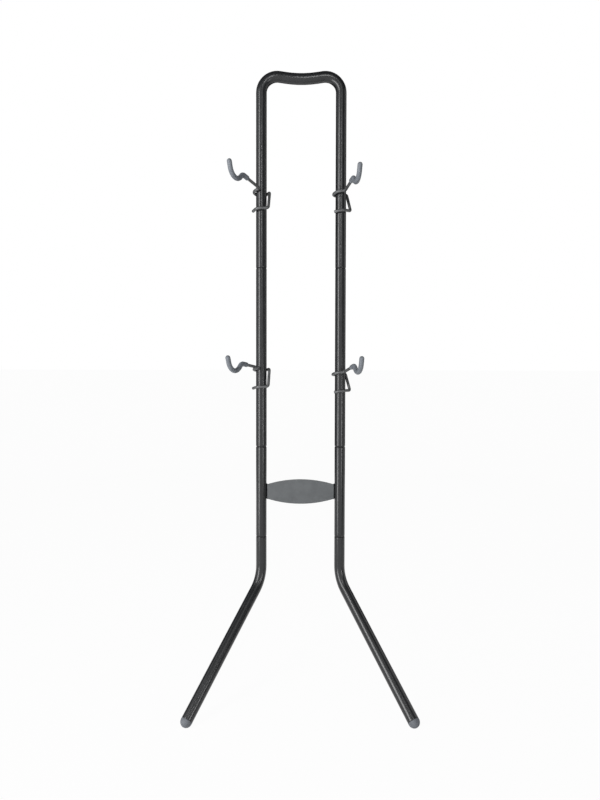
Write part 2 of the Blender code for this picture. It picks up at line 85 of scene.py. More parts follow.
# The oval plate and its screws
PLATE_HEIGHT = 293.0 * MM
PLATE_HALF_TALL = 41.0 * MM
PLATE_HALF_END = 23.5 * MM
PLATE_THICK = 2.0 * MM
PLATE_FACE = 5.0 * MM
PLATE_BEND = 3.5 * MM
PLATE_EDGE = 0.7 * MM
PLATE_COLUMNS = 32
SADDLE_CLEARANCE = 0.5 * MM
SADDLE_RADIUS = TUBE_RADIUS + SADDLE_CLEARANCE + PLATE_THICK / 2
SADDLE_START = math.radians(172.0)
SADDLE_PAST_BACK = math.radians(28.0)
SADDLE_LIP = 2.0 * MM
SCREW_SPREAD = 13.0 * MM
SCREW_RADIUS = 2.2 * MM
SCREW_LENGTH = 13.0 * MM
SCREW_POINT = 2.0 * MM
SCREW_TIP_RADIUS = 0.8 * MM
SCREW_HEAD_RADIUS = 4.8 * MM
SCREW_HEAD_TALL = 2.8 * MM
SCREW_HEAD_RIM = 1.1 * MM
SCREW_THREAD = 0.25 * MM
SCREW_PITCH = 1.4 * MM
CROSS_LENGTH = 4.6 * MM
CROSS_WIDTH = 0.9 * MM
CROSS_DEPTH = 1.6 * MM

# The wire arm, in its own frame: forward along the arm, right of it, and up from its upper wrap.
# Angles round a wrap run from straight ahead towards the left.
WIRE_RADIUS = 4.75 * MM
WIRE_EDGE = 0.5 * MM
WRAP_CLEARANCE = 2.0 * MM
WRAP_RADIUS = TUBE_RADIUS + WRAP_CLEARANCE + WIRE_RADIUS
WRAP_TILT = 3.0 * MM
WRAP_TURN = math.radians(211.0)
WRAP_PARTS = 3
WRAP_SPACING = 62.0 * MM
LOWER_IN = math.radians(-32.6)
LOWER_OUT = math.radians(33.6)
RUN_LEAD = 12.0 * MM
LOWER_LEAD = 22.0 * MM
CUT_LENGTH = 13.0 * MM
WIRE_BEND = 8.0 * MM
ARM_ASIDE = 8.5 * MM
ARM_RISE = math.radians(7.0)
BUMP_BEND = 19.0 * MM
CRADLE_FORWARD = 166.0 * MM
CRADLE_UP = 28.5 * MM
CRADLE_RADIUS = 34.0 * MM
CRADLE_IN = math.radians(225.0)
CRADLE_OUT = math.radians(342.0)
TIP_LENGTH = 24.0 * MM
SLEEVE_RADIUS = 7.6 * MM
SLEEVE_START = 101.0 * MM
SLEEVE_LIP = 1.1 * MM

# Where each arm rests: which upright, the height of the middle between its wraps, how far it is
# swivelled to the right, and how far its loose wraps let it tip up
ARMS = {
    "upper_left": (-1, 1252.6 * MM, math.radians(-27.2), math.radians(1.1)),
    "upper_right": (1, 1248.8 * MM, math.radians(9.9), math.radians(-2.3)),
    "lower_left": (-1, 669.7 * MM, math.radians(-28.5), math.radians(-0.8)),
    "lower_right": (1, 656.7 * MM, math.radians(12.8), math.radians(2.3)),
}

# The view and the studio
VIEW_AIM = Vector((-0.0023, 0.1409, 0.9196))
VIEW_TIP = math.radians(5.7)
VIEW_ROLL = math.radians(0.12)
VIEW_DISTANCE = 2.065
LENS = 27.9
SENSOR = 36.0
FLOOR_SIZE = 40.0
FLOOR_GAP = 0.2 * MM
FLOOR_WHITE_SHARE = 0.97
ROOM_LIGHT = 0.3
STAND_MIDDLE = Vector((0, 0.15, 1.0))
# Each lamp's name, width and height, power in watts, and place
LAMPS = [
    ("key", (0.7, 3.3), 67, (-2.0, -1.75, 1.65)),
    ("front_strip_left", (0.04, 1.07), 1.4, (-0.05, -2.6, 2.62)),
    ("front_strip_middle", (0.04, 1.07), 3.2, (0.08, -2.6, 2.62)),
    ("front_strip_right", (0.05, 1.07), 5.2, (0.26, -2.6, 2.62)),
    ("fill", (0.3, 0.73), 8, (1.62, -1.72, 0.8)),
]
# Each card's name, tone, width and height, and place
CARDS = [
    ("card_left", "#1c1c1c", (3.5, 5.0), (-2.3, 2.0, 1.5)),
    ("card_right", "#1c1c1c", (2.2, 5.0), (1.9, 2.4, 1.5)),
    ("card_back", "#1c1c1c", (3.2, 5.0), (0, 3.2, 1.5)),
    ("card_top", "#1c1c1c", (5.0, 3.4), (0, 0.15, 3.4)),
    ("card_front", "#1c1c1c", (0.95, 3.15), (-0.375, -3.0, 3.62)),
    ("card_front_low", "#9c9c9c", (2.1, 2.0), (2.18, -1.27, 1.0)),
    ("card_front_high", "#5c5c5c", (2.1, 2.0), (2.18, -1.27, 3.0)),
]

# How finely round forms are drawn
TUBE_SIDES = 64
WIRE_SIDES = 32
SLEEVE_SIDES = 40
SCREW_SIDES = 32
DOME_RINGS = 12
END_RINGS = 6
BEND_STEP = math.radians(4.0)
RING_LEAD = 3.0 * MM
LONG_RUN = 4 * RING_LEAD
SMOOTH_ANGLE = math.radians(40.0)
ROUND_ANGLE = math.radians(50.0)
ROUND_SEGMENTS = 3
MERGE = 0.005 * MM

# The noise in the materials, and the middle band of its values that is stretched to the full range
NOISE_ROUGHNESS = 0.55
NOISE_LOW = 0.3
NOISE_HIGH = 0.7
CLOUD_DETAIL = 3.0
PATCH_DETAIL = 2.0

# The places of a Mix node's sockets for colours, which share their names with other sockets
MIX_FACTOR = 0
MIX_FIRST = 6
MIX_SECOND = 7
MIX_RESULT = 2


def start_ring(name, place, direction, radius, sides):
    """Add a circle across the start of a route, and leave its edge selected in edit mode."""
    bpy.ops.object.select_all(action="DESELECT")
    bpy.ops.mesh.primitive_circle_add(
        vertices=sides, radius=radius, location=place,
        rotation=direction.to_track_quat("Z", "Y").to_euler())
    piece = bpy.context.active_object
    piece.name = name
    bpy.ops.object.transform_apply()
    bpy.ops.object.mode_set(mode="EDIT")
    return piece


def extrude(offset):
    """Extrude what is selected by a straight offset."""
    bpy.ops.mesh.extrude_region_move(TRANSFORM_OT_translate={"value": offset})


def run_straight(offset):
    """Extrude a straight run, with a ring close to each end that keeps the shading even between."""
    lead = offset.normalized() * RING_LEAD
    if offset.length > LONG_RUN:
        extrude(lead)
        extrude(offset - 2 * lead)
        extrude(lead)
    else:
        extrude(offset)


def resize(factor, centre):
    """Scale what is selected about a centre."""
    bpy.ops.transform.resize(value=(factor, factor, factor), center_override=centre)


def sweep(corners):
    """Carry what is selected along a route, round each corner by that corner's radius."""
    place = corners[0][0]
    for (before, _), (corner, radius), (after, _) in zip(corners, corners[1:], corners[2:]):
        into = (corner - before).normalized()
        out = (after - corner).normalized()
        turn = into.angle(out)
        reach = radius * math.tan(turn / 2)
        start = corner - into * reach
        axis = into.cross(out).normalized()
        run_straight(start - place)
        # Spin turns clockwise about its axis, so the axis is reversed
        bpy.ops.mesh.spin(
            steps=math.ceil(turn / BEND_STEP), angle=turn,
            center=start + axis.cross(into) * radius, axis=-axis)
        place = corner + out * reach
    run_straight(corners[-1][0] - place)


def lathe(place, direction, profile):
    """Carry the selected ring through a turned profile of radius and distance along its axis."""
    for (radius, along), (next_radius, next_along) in zip(profile, profile[1:]):
        extrude(direction * (next_along - along))
        resize(next_radius / radius, place + direction * next_along)


def round_end(place, direction, radius):
    """Close the selected ring with half a ball."""
    quarter = math.pi / 2
    turns = [quarter * ring / DOME_RINGS for ring in range(DOME_RINGS)]
    profile = [(radius * math.cos(turn), radius * math.sin(turn)) for turn in turns]
    lathe(place, direction, profile)
    extrude(direction * (radius - profile[-1][1]))
    bpy.ops.mesh.merge(type="CENTER")


def tidy_surface(close_ends=False):
    """Merge doubles, close what is open if asked, turn the faces outwards and leave edit mode."""
    bpy.ops.mesh.select_all(action="SELECT")
    bpy.ops.mesh.remove_doubles(threshold=MERGE)
    if close_ends:
        bpy.ops.mesh.fill_holes(sides=0)
    bpy.ops.mesh.normals_make_consistent(inside=False)
    bpy.ops.object.mode_set(mode="OBJECT")


def modify(piece, kind, **settings):
    """Add a modifier to a piece and apply it."""
    bpy.ops.object.select_all(action="DESELECT")
    piece.select_set(True)
    bpy.context.view_layer.objects.active = piece
    modifier = piece.modifiers.new(kind.lower(), kind)
    for name, value in settings.items():
        setattr(modifier, name, value)
    bpy.ops.object.modifier_apply(modifier=modifier.name)


def soften(piece, width):
    """Round a piece's sharp edges and shade it smooth between them."""
    modify(
        piece, "BEVEL", width=width, segments=ROUND_SEGMENTS, limit_method="ANGLE",
        angle_limit=ROUND_ANGLE)
    bpy.ops.object.shade_smooth_by_angle(angle=SMOOTH_ANGLE)


def settle(piece, place):
    """Put a piece in its place and apply the place to its mesh."""
    bpy.ops.object.select_all(action="DESELECT")
    piece.select_set(True)
    bpy.context.view_layer.objects.active = piece
    piece.matrix_world = place
    bpy.ops.object.transform_apply()


def copied(piece, name, place):
    """Copy a piece with a mesh of its own, in another place."""
    bpy.ops.object.select_all(action="DESELECT")
    piece.select_set(True)
    bpy.context.view_layer.objects.active = piece
    bpy.ops.object.duplicate()
    twin = bpy.context.active_object
    twin.name = name
    settle(twin, place)
    return twin


def mirrored(piece, name):
    """Copy a piece to the other side of the stand."""
    twin = copied(piece, name, Matrix.Scale(-1, 4, Vector((1, 0, 0))))
    bpy.ops.object.mode_set(mode="EDIT")
    tidy_surface()
    return twin


def cut(piece, cutter):
    """Cut a piece with a closed shape, which is then removed."""
    modify(piece, "BOOLEAN", operation="DIFFERENCE", solver="EXACT", object=cutter)
    bpy.data.objects.remove(cutter, do_unlink=True)


def dress(piece, body, slot, material, *nodes):
    """Give a finished piece its material and its body, and hide the nodes that it stands for. The
    slot is not used.
    """
    piece.data.materials.clear()
    piece.data.materials.append(material)
    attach(piece, body)
    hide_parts(*nodes)


def linear(code):
    """Turn an sRGB hex colour, by the sRGB standard's curve, into a shader's linear colour."""
    channels = [int(code[index:index + 2], 16) / 255 for index in (1, 3, 5)]
    return tuple(
        c / 12.92 if c <= 0.04045 else ((c + 0.055) / 1.055) ** 2.4 for c in channels) + (1.0,)


def add(tree, kind, settings, **links):
    """Add a shader node with its settings, and link other nodes' sockets into it."""
    node = tree.nodes.new(kind)
    for name, value in settings.items():
        if name in node.inputs:
            node.inputs[name].default_value = value
        else:
            setattr(node, name, value)
    for name, source in links.items():
        tree.links.new(source, node.inputs[name.replace("_", " ")])
    return node


def new_material(name, tones, cloud, roughness, patch, metallic=0.0, specular=0.5):
    """A material in soft clouds between two tones, with patches between two roughnesses."""
    material = bpy.data.materials.new(name)
    material.use_nodes = True
    tree = material.node_tree
    shader = tree.nodes["Principled BSDF"]
    shader.inputs["Metallic"].default_value = metallic
    shader.inputs["Specular IOR Level"].default_value = specular
    clouds = uneven(tree, cloud, CLOUD_DETAIL, 0.0, 1.0)
    tree.links.new(between(tree, clouds, *tones), shader.inputs["Base Color"])
    patches = uneven(tree, patch, PATCH_DETAIL, *roughness)
    tree.links.new(patches, shader.inputs["Roughness"])
    return material, tree, shader


def uneven(tree, size, detail, low, high):
    """Soft noise of a real size in metres, as a number that runs from low to high."""
    place = add(tree, "ShaderNodeTexCoord", {})
    noise = add(
        tree, "ShaderNodeTexNoise",
        {"Scale": 1 / size, "Detail": detail, "Roughness": NOISE_ROUGHNESS},
        Vector=place.outputs["Object"])
    return add(
        tree, "ShaderNodeMapRange",
        {"From Min": NOISE_LOW, "From Max": NOISE_HIGH, "To Min": low, "To Max": high},
        Value=noise.outputs["Fac"]).outputs["Result"]


def between(tree, factor, first, second):
    """A colour that runs from one hex colour to another."""
    mix = add(tree, "ShaderNodeMix", {"data_type": "RGBA"})
    mix.inputs[MIX_FIRST].default_value = linear(first)
    mix.inputs[MIX_SECOND].default_value = linear(second)
    tree.links.new(factor, mix.inputs[MIX_FACTOR])
    return mix.outputs[MIX_RESULT]


def grain(tree, shader, size, height, strength):
    """Raise a shader's surface by soft noise of a real size and height."""
    bump = add(
        tree, "ShaderNodeBump", {"Strength": strength, "Distance": height},
        Height=uneven(tree, size, PATCH_DETAIL, 0.0, 1.0))
    tree.links.new(bump.outputs["Normal"], shader.inputs["Normal"])


def powder_coat():
    """Polyester powder coat, sprayed and baked: dark, semi-gloss, with a fine orange peel."""
    material, tree, shader = new_material(
        "charcoal_powder_coat", tones=("#252627", "#2d2e30"), cloud=35 * MM,
        roughness=(0.2, 0.24), patch=9 * MM, specular=0.45)
    grain(tree, shader, size=1.8 * MM, height=0.02 * MM, strength=0.03)
    return material


def plated_wire():
    """Drawn steel wire with a dull dark plating: grey, faintly metallic, a little clouded."""
    material, tree, shader = new_material(
        "dull_plated_wire", tones=("#58595a", "#6d6e6f"), cloud=14 * MM,
        roughness=(0.38, 0.5), patch=4 * MM, metallic=0.35)
    grain(tree, shader, size=1.0 * MM, height=0.02 * MM, strength=0.3)
    return material


def vinyl_sleeve():
    """Dip-moulded soft vinyl: blue-grey and satin, faintly cloudy, with a skin as of an eraser."""
    material, tree, shader = new_material(
        "soft_grey_vinyl", tones=("#747980", "#868b92"), cloud=18 * MM,
        roughness=(0.46, 0.58), patch=6 * MM)
    grain(tree, shader, size=0.8 * MM, height=0.03 * MM, strength=0.4)
    return material


def moulded_rubber():
    """Moulded grey rubber: matte, a little mottled, with the fine grain of its mould."""
    material, tree, shader = new_material(
        "moulded_grey_rubber", tones=("#6c7076", "#7d8187"), cloud=10 * MM,
        roughness=(0.6, 0.72), patch=5 * MM)
    grain(tree, shader, size=0.7 * MM, height=0.04 * MM, strength=0.5)
    return material


def satin_paint():
    """Stoved satin enamel on formed sheet: mid grey, even, with a slight cloud of spray."""
    material, tree, shader = new_material(
        "satin_grey_enamel", tones=("#5b5e60", "#686b6d"), cloud=40 * MM,
        roughness=(0.42, 0.5), patch=12 * MM)
    grain(tree, shader, size=1.5 * MM, height=0.015 * MM, strength=0.3)
    return material


def bright_zinc():
    """Bright zinc plate on a turned screw: pale, metallic, faintly clouded."""
    material, _, _ = new_material(
        "bright_zinc_plate", tones=("#a3a4a2", "#b9bab6"), cloud=2 * MM,
        roughness=(0.25, 0.4), patch=1 * MM, metallic=1.0)
    return material


def leg_ends():
    """The corner of the right leg and the centre of its open end."""
    corner = Vector((HALF_SPACING, 0, 0))
    return corner, corner + Vector((LEG_OUT, -LEG_FORWARD, -LEG_DOWN))


def stand_place():
    """The lean of the uprights, with the feet on the floor and the origin under the middle."""
    corner, rim = leg_ends()
    lean = Matrix.Rotation(-LEAN, 3, "X")
    foot = lean @ (rim + (rim - corner).normalized() * (GAP + FOOT_BAND))
    crest = lean @ Vector((0, 0, TOP_CREST))
    middle = (foot.y - TUBE_RADIUS + crest.y + TUBE_RADIUS) / 2
    return Matrix.Translation((0, -middle, TUBE_RADIUS - FOOT_PATCH - foot.z)) @ lean.to_4x4()


def give_wall(piece, thickness):
    """Give an open tube its wall, inwards from the outer face."""
    modify(piece, "SOLIDIFY", thickness=thickness, offset=-1.0, use_even_offset=True, use_rim=True)


def rolled_in(back, deep):
    """A tube's end that is rolled in, as radii and distances short of the end."""
    turns = [math.pi / 2 * ring / END_RINGS for ring in range(END_RINGS + 1)]
    return [
        (TUBE_RADIUS - deep * (1 - math.cos(turn)), back * (math.sin(turn) - 1)) for turn in turns
    ]


def sweep_tube(name, corners, start, end):
    """A hollow tube of the frame. Each end is plain or a mouth, and the last can be a spigot."""
    places = [corner for corner, _ in corners]
    along = (places[1] - places[0]).normalized()
    mouth = rolled_in(MOUTH_BACK, MOUTH_DEEP)
    route = list(corners)
    if start == "mouth":
        opening = [(radius, -short) for radius, short in reversed(mouth)]
        piece = start_ring(name, places[0], along, opening[0][0], TUBE_SIDES)
        lathe(places[0], along, opening)
        route[0] = (places[0] + along * MOUTH_BACK, 0)
    else:
        piece = start_ring(name, places[0], along, TUBE_RADIUS, TUBE_SIDES)
    onward = (places[-1] - places[-2]).normalized()
    finish = {
        "plain": [],
        "mouth": mouth,
        "spigot": rolled_in(SHOULDER_BACK, SHOULDER_DEEP) + [
            (SPIGOT_RADIUS, SPIGOT_LENGTH - SPIGOT_LEAD_IN),
            (SPIGOT_RADIUS - SPIGOT_TAPER, SPIGOT_LENGTH),
        ],
    }[end]
    if finish:
        route[-1] = (places[-1] + onward * finish[0][1], 0)
    sweep(route)
    lathe(places[-1], onward, finish)
    tidy_surface()
    give_wall(piece, TUBE_WALL)
    return piece


def make_top_tube():
    """The bent tube that joins both uprights at the top, with a shallow dip in its middle."""
    turn = math.pi / 2 + TOP_DIP_SLOPE
    corner_height = TOP_CREST - TOP_BEND + TOP_BEND * math.tan(turn / 2)
    dip_height = corner_height - HALF_SPACING * math.tan(TOP_DIP_SLOPE)
    foot = TOP_JOINT + GAP
    corners = [
        (Vector((-HALF_SPACING, 0, foot)), 0),
        (Vector((-HALF_SPACING, 0, corner_height)), TOP_BEND),
        (Vector((0, 0, dip_height)), TOP_DIP_BEND),
        (Vector((HALF_SPACING, 0, corner_height)), TOP_BEND),
        (Vector((HALF_SPACING, 0, foot)), 0),
    ]
    return sweep_tube("top_bow", corners, "mouth", "mouth")


def make_straight(name, low, high):
    """A straight length of the right upright, with a spigot at its upper end."""
    ends = [(Vector((HALF_SPACING, 0, height)), 0) for height in (low + GAP, high)]
    return sweep_tube(name, ends, "mouth", "spigot")


def make_leg(name):
    """The right leg, which splays out and forward from the upright."""
    corner, rim = leg_ends()
    top = Vector((HALF_SPACING, 0, LEG_JOINT))
    return sweep_tube(name, [(rim, 0), (corner, LEG_BEND), (top, 0)], "plain", "spigot")


def make_foot(name):
    """The right foot: a ribbed plug inside the leg, a short band and a dome with a flat tread."""
    corner, rim = leg_ends()
    down = (rim - corner).normalized()
    plug_radius = TUBE_RADIUS - TUBE_WALL - GAP
    core = plug_radius - RIB_HEIGHT
    pitch = PLUG_LENGTH / (PLUG_RIBS + 1)
    profile = [(core - PLUG_CHAMFER, -PLUG_LENGTH), (core, PLUG_CHAMFER - PLUG_LENGTH)]
    for rib in range(PLUG_RIBS):
        middle = (rib + 1) * pitch - PLUG_LENGTH
        profile += [(core, middle - RIB_HALF - RIB_RAMP), (plug_radius, middle - RIB_HALF)]
        profile += [(plug_radius, middle + RIB_HALF), (core, middle + RIB_HALF)]
    profile += [(core, GAP), (TUBE_RADIUS, GAP), (TUBE_RADIUS, GAP + FOOT_BAND)]
    piece = start_ring(name, rim + down * profile[0][1], down, profile[0][0], TUBE_SIDES)
    lathe(rim, down, profile)
    round_end(rim + down * (GAP + FOOT_BAND), down, TUBE_RADIUS)
    tidy_surface(close_ends=True)
    return piece


def flatten_tread(piece):
    """Cut the foot off flat at the floor."""
    bpy.ops.object.select_all(action="DESELECT")
    piece.select_set(True)
    bpy.context.view_layer.objects.active = piece
    bpy.ops.object.mode_set(mode="EDIT")
    bpy.ops.mesh.select_all(action="SELECT")
    bpy.ops.mesh.bisect(
        plane_co=(0, 0, 0), plane_no=(0, 0, 1), use_fill=True, clear_inner=True, threshold=MERGE)
    tidy_surface()
    soften(piece, TREAD_EDGE)


def plate_route(web):
    """The plate's middle line seen from above, from its right bend to the lip of that saddle."""
    axis = Vector((HALF_SPACING, 0, PLATE_HEIGHT))
    start, end = SADDLE_START, math.pi / 2 - SADDLE_PAST_BACK
    middle, half = (start + end) / 2, (start - end) / 2

    def on_saddle(angle, reach=SADDLE_RADIUS):
        return axis + reach * Vector((math.cos(angle), math.sin(angle), 0))

    def along_saddle(angle):
        return Vector((math.sin(angle), -math.cos(angle), 0))

    # The web is bent where its plane meets the line that touches the saddle's start
    back = (on_saddle(start).y - web) / along_saddle(start).y
    return [
        (on_saddle(start) - along_saddle(start) * back, PLATE_BEND),
        (on_saddle(middle, SADDLE_RADIUS / math.cos(half)), SADDLE_RADIUS),
        (on_saddle(end) + along_saddle(end) * SADDLE_LIP, 0),
    ]


def make_plate():
    """The oval plate, one formed sheet: an arched web whose ends cup the backs of the tubes."""
    half_long = HALF_SPACING - TUBE_RADIUS
    drop = PLATE_HALF_TALL - PLATE_HALF_END
    arch = (half_long ** 2 + drop ** 2) / (2 * drop)
    web = PLATE_THICK / 2 - PLATE_FACE
    route = plate_route(web)
    web_end = route[0][0].x - PLATE_BEND
    step = web_end / PLATE_COLUMNS
    bpy.ops.object.select_all(action="DESELECT")
    bpy.ops.mesh.primitive_plane_add(
        size=2 * PLATE_HALF_TALL, location=(step / 2, web, PLATE_HEIGHT),
        rotation=(math.pi / 2, 0, 0))
    plate = bpy.context.active_object
    plate.name = "tie_plate"
    plate.scale.x = step / (2 * PLATE_HALF_TALL)
    bpy.ops.object.transform_apply()
    # Only the right edge of this first column is carried on
    for corner in plate.data.vertices:
        corner.select = corner.co.x > step / 2
    for edge in plate.data.edges:
        edge.select = all(plate.data.vertices[end].select for end in edge.vertices)
    for face in plate.data.polygons:
        face.select = False
    bpy.ops.object.mode_set(mode="EDIT")
    tall = PLATE_HALF_TALL
    for column in range(1, PLATE_COLUMNS + 1):
        x = step * column
        if column > 1:
            extrude((step, 0, 0))
        next_tall = PLATE_HALF_TALL - arch + math.sqrt(arch ** 2 - x ** 2)
        bpy.ops.transform.resize(
            value=(1, 1, next_tall / tall), center_override=(x, web, PLATE_HEIGHT))
        tall = next_tall
    sweep([(Vector((web_end, web, PLATE_HEIGHT)), 0)] + route)
    tidy_surface()
    modify(plate, "MIRROR", use_mirror_merge=True, merge_threshold=MERGE)
    bpy.ops.object.mode_set(mode="EDIT")
    tidy_surface()
    modify(plate, "SOLIDIFY", thickness=PLATE_THICK, offset=0.0, use_even_offset=True)
    return plate


def screw_places():
    """Each plate screw's side, level and place on the axis of its tube."""
    return [
        (side, level, Vector((sign * HALF_SPACING, 0, PLATE_HEIGHT + lift * SCREW_SPREAD)))
        for side, sign in (("left", -1), ("right", 1))
        for level, lift in (("top", 1), ("bottom", -1))
    ]


def make_screw():
    """A pan-head screw with a cross recess, head towards +Y, its bearing face at the origin."""
    out = Vector((0, 1, 0))
    core = SCREW_RADIUS - SCREW_THREAD
    crown = SCREW_HEAD_TALL - SCREW_HEAD_RIM
    point = SCREW_POINT - SCREW_LENGTH
    profile = [(SCREW_TIP_RADIUS, -SCREW_LENGTH), (core, point)]
    for turn in range(int(-point / SCREW_PITCH)):
        foot = point + turn * SCREW_PITCH
        profile += [(SCREW_RADIUS, foot + SCREW_PITCH / 2), (core, foot + SCREW_PITCH)]
    profile += [(core, 0), (SCREW_HEAD_RADIUS, 0)]
    for ring in range(DOME_RINGS):
        turn = math.pi / 2 * ring / DOME_RINGS
        profile.append(
            (SCREW_HEAD_RADIUS * math.cos(turn), SCREW_HEAD_RIM + crown * math.sin(turn)))
    screw = start_ring("screw", out * profile[0][1], out, profile[0][0], SCREW_SIDES)
    lathe(Vector((0, 0, 0)), out, profile)
    tidy_surface(close_ends=True)
    for wide, tall in ((CROSS_LENGTH, CROSS_WIDTH), (CROSS_WIDTH, CROSS_LENGTH)):
        bpy.ops.mesh.primitive_cube_add(
            size=1, location=(0, SCREW_HEAD_TALL, 0), scale=(wide, 2 * CROSS_DEPTH, tall))
        cut(screw, bpy.context.active_object)
    bpy.ops.object.select_all(action="DESELECT")
    screw.select_set(True)
    bpy.ops.object.shade_smooth_by_angle(angle=SMOOTH_ANGLE)
    return screw


def screw_hole(centre):
    """A cutter for one screw's hole through the saddle and the back wall of its tube."""
    bpy.ops.object.select_all(action="DESELECT")
    bpy.ops.mesh.primitive_cylinder_add(
        vertices=SCREW_SIDES, radius=SCREW_RADIUS + GAP, depth=TUBE_RADIUS,
        location=centre + Vector((0, TUBE_RADIUS, 0)), rotation=(math.pi / 2, 0, 0))
    return bpy.context.active_object


def arm_frame(forward, right, up):
    """A point of the arm's own frame, where forward is -Y and right is +X."""
    return Vector((right, -forward, up))


def wrap_axes():
    """The directions ahead and left in a wrap's plane, which falls to the left and the back."""
    level = arm_frame(-WRAP_TILT, -WRAP_TILT, WRAP_RADIUS).normalized()
    ahead = arm_frame(0, 1, 0).cross(level).normalized()
    return ahead, ahead.cross(level)


def on_wrap(angle, reach=WRAP_RADIUS):
    """A point of the upper wrap by its angle."""
    ahead, left = wrap_axes()
    return (ahead * math.cos(angle) + left * math.sin(angle)) * reach


def along_wrap(angle):
    """The direction in which a wrap runs at an angle."""
    ahead, left = wrap_axes()
    return left * math.cos(angle) - ahead * math.sin(angle)


def wrap_corner(start, end):
    """Where the wire's straight lines would meet, were it not bent round between two angles."""
    return on_wrap((start + end) / 2, WRAP_RADIUS / math.cos((end - start) / 2))


def in_cradle(angle, reach=CRADLE_RADIUS):
    """A point by its angle and reach about the cradle's centre, in the plane of the arm."""
    return arm_frame(
        CRADLE_FORWARD + reach * math.cos(angle), ARM_ASIDE, CRADLE_UP + reach * math.sin(angle))


def hook_corners():
    """The hook from its tip to the root of the arm, as corners and their radii."""
    middle, half = (CRADLE_IN + CRADLE_OUT) / 2, (CRADLE_OUT - CRADLE_IN) / 2
    rise = arm_frame(-math.sin(CRADLE_OUT), 0, math.cos(CRADLE_OUT))
    inner = in_cradle(CRADLE_IN)
    root = on_wrap(0) - along_wrap(0) * ARM_ASIDE
    # The bump's corner is where the cradle's inner side, run on straight, meets the rising arm
    side_slope = -1 / math.tan(CRADLE_IN)
    arm_slope = math.tan(ARM_RISE)
    climb = inner.z - root.z + side_slope * inner.y - arm_slope * root.y
    forward = climb / (arm_slope - side_slope)
    return [
        (in_cradle(CRADLE_OUT) + rise * TIP_LENGTH, 0),
        (in_cradle(middle, CRADLE_RADIUS / math.cos(half)), CRADLE_RADIUS),
        (arm_frame(forward, ARM_ASIDE, root.z + arm_slope * (forward + root.y)), BUMP_BEND),
        (root, WIRE_BEND),
    ]


def arm_corners():
    """The whole wire from where it ends in the sleeve's tip to its cut end."""
    (tip, _), *hook = hook_corners()
    down = (hook[0][0] - tip).normalized()
    part = WRAP_TURN / WRAP_PARTS
    upper = [
        (wrap_corner(part * index, part * (index + 1)), WRAP_RADIUS) for index in range(WRAP_PARTS)
    ]
    drop = arm_frame(0, 0, -WRAP_SPACING)
    return [
        (tip + down * SLEEVE_RADIUS, 0),
        *hook,
        *upper,
        (on_wrap(WRAP_TURN) + along_wrap(WRAP_TURN) * RUN_LEAD, WIRE_BEND),
        (on_wrap(LOWER_IN) - along_wrap(LOWER_IN) * LOWER_LEAD + drop, WIRE_BEND),
        (wrap_corner(LOWER_IN, LOWER_OUT) + drop, WRAP_RADIUS),
        (on_wrap(LOWER_OUT) + along_wrap(LOWER_OUT) * CUT_LENGTH + drop, 0),
    ]


def make_wire():
    """One bent wire arm, in the arm's own frame."""
    corners = arm_corners()
    first = (corners[1][0] - corners[0][0]).normalized()
    wire = start_ring("wire", corners[0][0], first, WIRE_RADIUS, WIRE_SIDES)
    sweep(corners)
    tidy_surface(close_ends=True)
    soften(wire, WIRE_EDGE)
    return wire


def make_sleeve():
    """One soft sleeve, in the arm's own frame: open at its lip, with a round tip."""
    tip, bottom, bump, root = hook_corners()
    along = (bump[0] - root[0]).normalized()
    stop = root[0] + along * (SLEEVE_START - WRAP_RADIUS) / math.cos(ARM_RISE)
    rise = (tip[0] - bottom[0]).normalized()
    shoulder = tip[0] - rise * SLEEVE_RADIUS
    sleeve = start_ring("sleeve", stop, along, SLEEVE_RADIUS, SLEEVE_SIDES)
    sweep([(stop, 0), bump, bottom, (shoulder, 0)])
    round_end(shoulder, rise, SLEEVE_RADIUS)
    tidy_surface()
    give_wall(sleeve, SLEEVE_RADIUS - WIRE_RADIUS - GAP)
    soften(sleeve, SLEEVE_LIP)
    return sleeve


def make_frame():
    """The tubes, feet, plate and screws, leaned back together."""
    place = stand_place()
    coat, rubber = powder_coat(), moulded_rubber()
    bow = make_top_tube()
    soften(bow, TUBE_EDGE)
    settle(bow, place)
    dress(bow, "frame", "powder_coat", coat, "top_tube")

    plate = make_plate()
    lower = make_straight("lower_upright_right", LEG_JOINT, MIDDLE_JOINT)
    for side, level, centre in screw_places():
        cut(plate, screw_hole(centre))
        if side == "right":
            cut(lower, screw_hole(centre))
    soften(plate, PLATE_EDGE)
    rights = {
        "upper": make_straight("upper_upright_right", MIDDLE_JOINT, TOP_JOINT),
        "lower": lower,
        "leg": make_leg("leg_right"),
        "foot": make_foot("foot_right"),
    }
    for kind, piece in rights.items():
        if kind != "foot":
            soften(piece, TUBE_EDGE)
        twin = mirrored(piece, piece.name.removesuffix("right") + "left")
        for side, half in (("right", piece), ("left", twin)):
            settle(half, place)
            if kind == "foot":
                flatten_tread(half)
                dress(half, "frame", "rubber", rubber, side + "_foot_cap")
            elif kind == "leg":
                dress(half, "frame", "powder_coat", coat, side + "_leg")
            else:
                dress(half, "frame", "powder_coat", coat, kind + "_" + side + "_tube")

    settle(plate, place)
    dress(plate, "frame", "plate_paint", satin_paint(), "spreader_plate")

    zinc = bright_zinc()
    screw = make_screw()
    seat = Vector((0, SADDLE_RADIUS + PLATE_THICK / 2 + GAP, 0))
    for side, level, centre in screw_places():
        seated = place @ Matrix.Translation(centre + seat)
        twin = copied(screw, "screw_" + side + "_" + level, seated)
        dress(twin, "frame", "zinc", zinc, "plate_screw_" + side + "_" + level)
    bpy.data.objects.remove(screw, do_unlink=True)


